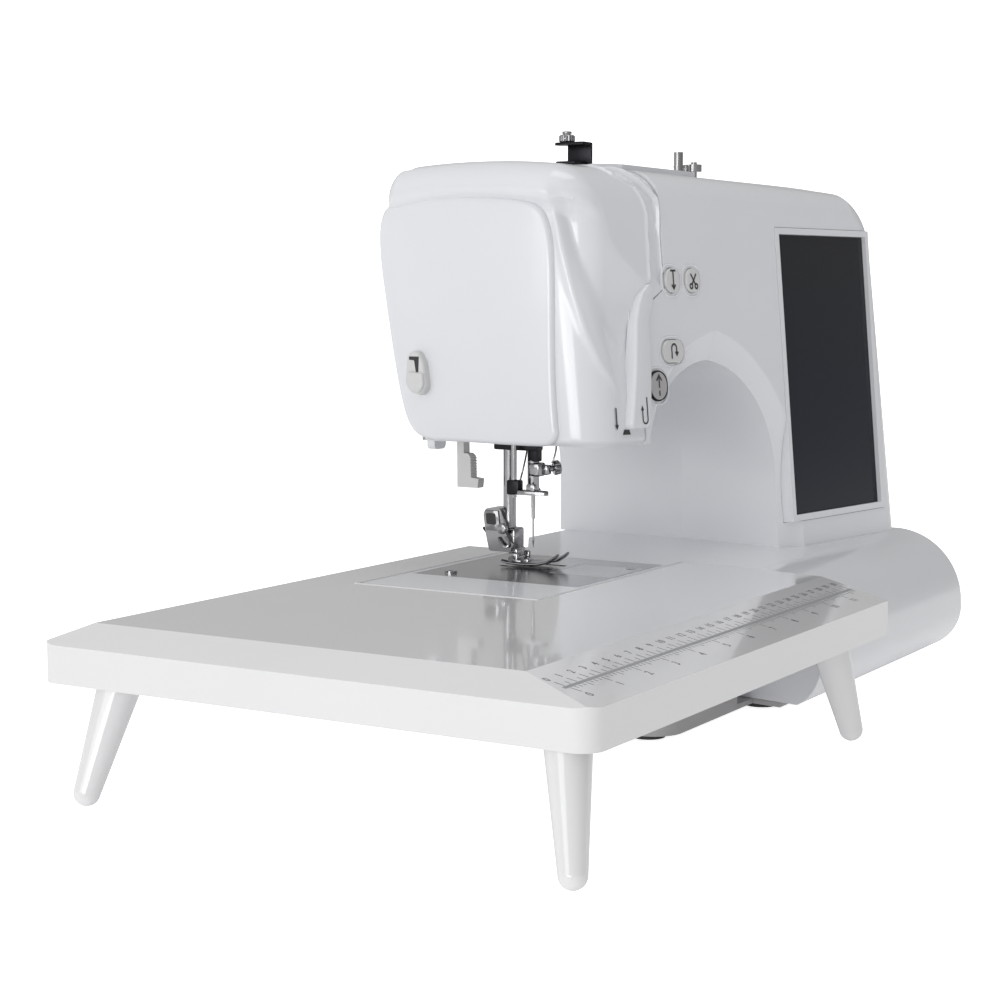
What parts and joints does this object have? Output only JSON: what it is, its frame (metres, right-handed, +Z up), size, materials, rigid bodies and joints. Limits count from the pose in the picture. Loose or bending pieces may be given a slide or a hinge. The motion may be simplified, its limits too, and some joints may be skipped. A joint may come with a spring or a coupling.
{
  "type": "sewing machine",
  "caption": "Computerised free arm sewing machine with a tall touch screen, push buttons, arched throat and a clip-on extension table on folding legs.",
  "frame": {"origin": "middle of the bounding box at the level of the feet; the needle stands at x 0, y 50 mm", "axes": "+X from the head towards the handwheel, +Y towards the back, +Z up"},
  "size_m": [0.5906, 0.284, 0.3139],
  "materials": {
    "white_shell": "glossy moulded white plastic",
    "white_table": "high gloss white plastic",
    "white_satin": "satin white plastic",
    "grey_plastic": "light grey plastic",
    "plate_steel": "brushed steel plate",
    "bright_chrome": "polished plated steel",
    "black_steel": "black oxide steel",
    "dark_plastic": "black plastic",
    "smoke_glass": "dark screen glass",
    "clear_plastic": "clear plastic",
    "foot_rubber": "rubber",
    "belt_rubber": "toothed rubber belt",
    "cast_aluminium": "as cast",
    "shaft_steel": "ground steel",
    "bushing_bronze": "sintered bronze",
    "board_green": "circuit board",
    "lamp_diffuser": "frosted diffuser"
  },
  "bodies": {
    "root": {"base_housing": "white_shell", "bobbin_case": "dark_plastic", "bobbin_cover": "clear_plastic", "bottom_plate": "grey_plastic", "control_board": "board_green", "face_cover": "white_shell", "free_arm_cover": "white_shell", "front_casing": "white_shell", "head_cover": "white_shell", "head_floor": "white_satin", "main_frame": "cast_aluminium", "motor": "shaft_steel", "motor_belt": "belt_rubber", "needle_plate": "plate_steel", "power_panel": "dark_plastic", "pretension_stud": "black_steel", "rear_casing": "white_shell", "rubber_feet": "foot_rubber", "screen_frame": "white_shell", "sewing_lamp": "lamp_diffuser", "shaft_bushings": "bushing_bronze", "spool_pin": "white_satin", "spool_tray": "white_shell", "thread_guide_bracket": "black_steel", "timing_belt": "belt_rubber", "touch_glass": "smoke_glass", "winder_plate": "plate_steel"},
    "main_shaft": {"main_shaft": "shaft_steel", "needle_crank": "shaft_steel", "shaft_pulleys": "shaft_steel", "handwheel": "white_shell"},
    "lower_shaft": {"lower_shaft": "shaft_steel"},
    "motor_rotor": {"motor_rotor": "shaft_steel"},
    "rotary_hook": {"rotary_hook": "bright_chrome"},
    "bobbin": {"bobbin": "clear_plastic"},
    "connecting_rod": {"connecting_rod": "shaft_steel"},
    "needle_bar": {"needle_bar": "bright_chrome", "needle_clamp": "bright_chrome", "needle": "bright_chrome"},
    "take_up_lever": {"take_up_lever": "bright_chrome"},
    "feed_dogs": {"feed_dogs": "bright_chrome"},
    "presser_bar": {"presser_bar": "bright_chrome", "foot_holder": "bright_chrome"},
    "presser_foot": {"presser_foot": "bright_chrome"},
    "lifter_lever": {"lifter_lever": "white_shell"},
    "needle_threader": {"needle_threader": "bright_chrome"},
    "buttonhole_lever": {"buttonhole_lever": "white_satin"},
    "needle_position_button": {"needle_position_button": "white_satin"},
    "thread_cut_button": {"thread_cut_button": "white_satin"},
    "reverse_stitch_button": {"reverse_stitch_button": "white_satin"},
    "start_stop_button": {"start_stop_button": "grey_plastic"},
    "power_rocker": {"power_rocker": "dark_plastic"},
    "tray_lid": {"tray_lid": "white_shell"},
    "winder_carrier": {"winder_carrier": "shaft_steel"},
    "winder_spindle": {"winder_spindle": "bright_chrome"},
    "extension_table": {"extension_table": "white_table"},
    "table_leg_front_left": {"table_leg_front_left": "white_table"},
    "table_leg_back_left": {"table_leg_back_left": "white_table"},
    "table_leg_front_right": {"table_leg_front_right": "white_table"},
    "table_leg_back_right": {"table_leg_back_right": "white_table"}
  },
  "joints": [
    {"name": "main_shaft_spin", "type": "hinge", "parent": "root", "child": "main_shaft", "pos_m": [0.15, 0.05, 0.238], "axis": [1, 0, 0], "continuous": true},
    {"name": "lower_shaft_spin", "type": "hinge", "parent": "root", "child": "lower_shaft", "pos_m": [0.1, 0.05, 0.047], "axis": [1, 0, 0], "continuous": true},
    {"name": "motor_spin", "type": "hinge", "parent": "root", "child": "motor_rotor", "pos_m": [0.25, 0.008, 0.118], "axis": [1, 0, 0], "continuous": true},
    {"name": "hook_spin", "type": "hinge", "parent": "root", "child": "rotary_hook", "pos_m": [0, 0.032, 0.055], "axis": [0, 0, 1], "continuous": true},
    {"name": "bobbin_spin", "type": "hinge", "parent": "root", "child": "bobbin", "pos_m": [0, 0.032, 0.066], "axis": [0, 0, 1], "continuous": true},
    {"name": "rod_pivot", "type": "hinge", "parent": "main_shaft", "child": "connecting_rod", "pos_m": [0.01, 0.05, 0.2535], "axis": [1, 0, 0], "continuous": true},
    {"name": "needle_bar_slide", "type": "slide", "parent": "root", "child": "needle_bar", "axis": [0, 0, 1], "range_m": [-0.031, 0]},
    {"name": "take_up_swing", "type": "hinge", "parent": "root", "child": "take_up_lever", "pos_m": [0.033, 0.024, 0.238], "axis": [-1, 0, 0], "range_deg": [-35, 25]},
    {"name": "feed_travel", "type": "slide", "parent": "root", "child": "feed_dogs", "axis": [0, 1, 0], "range_m": [-0.002, 0.002]},
    {"name": "lifter_swing", "type": "hinge", "parent": "root", "child": "lifter_lever", "pos_m": [0.017, 0.102, 0.172], "axis": [1, 0, 0], "range_deg": [0, 60]},
    {"name": "presser_bar_slide", "type": "slide", "parent": "root", "child": "presser_bar", "axis": [0, 0, 1], "range_m": [0, 0.008]},
    {"name": "foot_tilt", "type": "hinge", "parent": "presser_bar", "child": "presser_foot", "pos_m": [0, 0.0586, 0.0824], "axis": [-1, 0, 0], "range_deg": [0, 8]},
    {"name": "threader_slide", "type": "slide", "parent": "root", "child": "needle_threader", "axis": [0, 0, 1], "range_m": [-0.018, 0], "stiffness_N_per_m": 60, "springref_m": 0.005},
    {"name": "buttonhole_lever_slide", "type": "slide", "parent": "root", "child": "buttonhole_lever", "axis": [0, 0, 1], "range_m": [-0.025, 0]},
    {"name": "needle_position_press", "type": "slide", "parent": "root", "child": "needle_position_button", "axis": [0.1496, 0.9845, -0.0916], "range_m": [0, 0.0015], "stiffness_N_per_m": 500},
    {"name": "thread_cut_press", "type": "slide", "parent": "root", "child": "thread_cut_button", "axis": [0.1496, 0.9845, -0.0916], "range_m": [0, 0.0015], "stiffness_N_per_m": 500},
    {"name": "reverse_stitch_press", "type": "slide", "parent": "root", "child": "reverse_stitch_button", "axis": [0.1496, 0.9845, -0.0916], "range_m": [0, 0.0015], "stiffness_N_per_m": 500},
    {"name": "start_stop_press", "type": "slide", "parent": "root", "child": "start_stop_button", "axis": [0.1496, 0.9845, -0.0916], "range_m": [0, 0.0015], "stiffness_N_per_m": 500},
    {"name": "power_rocker_tilt", "type": "hinge", "parent": "root", "child": "power_rocker", "pos_m": [0.274, 0.0305, 0.031], "axis": [0, 0, 1], "range_deg": [-7, 7]},
    {"name": "tray_lid_hinge", "type": "hinge", "parent": "root", "child": "tray_lid", "pos_m": [0.12, 0.097, 0.2972], "axis": [-1, 0, 0], "range_deg": [0, 95]},
    {"name": "winder_shift", "type": "slide", "parent": "root", "child": "winder_carrier", "axis": [1, 0, 0], "range_m": [0, 0.004]},
    {"name": "winder_spin", "type": "hinge", "parent": "winder_carrier", "child": "winder_spindle", "pos_m": [0.208, 0.066, 0.29], "axis": [0, 0, 1], "continuous": true},
    {"name": "table_slide", "type": "slide", "parent": "root", "child": "extension_table", "axis": [-1, 0, 0], "range_m": [0, 0.165]},
    {"name": "front_left_leg_fold", "type": "hinge", "parent": "extension_table", "child": "table_leg_front_left", "pos_m": [-0.27065, -0.12255, 0.058], "axis": [0.5704, -0.8214, 0], "range_deg": [0, 105]},
    {"name": "back_left_leg_fold", "type": "hinge", "parent": "extension_table", "child": "table_leg_back_left", "pos_m": [-0.27065, 0.10478, 0.058], "axis": [-0.3162, -0.9487, 0], "range_deg": [0, 105]},
    {"name": "front_right_leg_fold", "type": "hinge", "parent": "extension_table", "child": "table_leg_front_right", "pos_m": [-0.00395, -0.12218, 0.058], "axis": [0.5843, 0.8115, 0], "range_deg": [0, 105]},
    {"name": "back_right_leg_fold", "type": "hinge", "parent": "extension_table", "child": "table_leg_back_right", "pos_m": [0.02305, 0.11893, 0.058], "axis": [-0.158, 0.9874, 0], "range_deg": [0, 105]}
  ],
  "couplings": [
    {"joint": "lower_shaft_spin", "follows": "main_shaft_spin", "ratio": 1},
    {"joint": "motor_spin", "follows": "main_shaft_spin", "ratio": 3.25},
    {"joint": "hook_spin", "follows": "main_shaft_spin", "ratio": 2},
    {"joint": "rod_pivot", "follows": "main_shaft_spin", "ratio": -1},
    {"joint": "lifter_swing", "follows": "presser_bar_slide", "rad_per_m": 130.89}
  ]
}
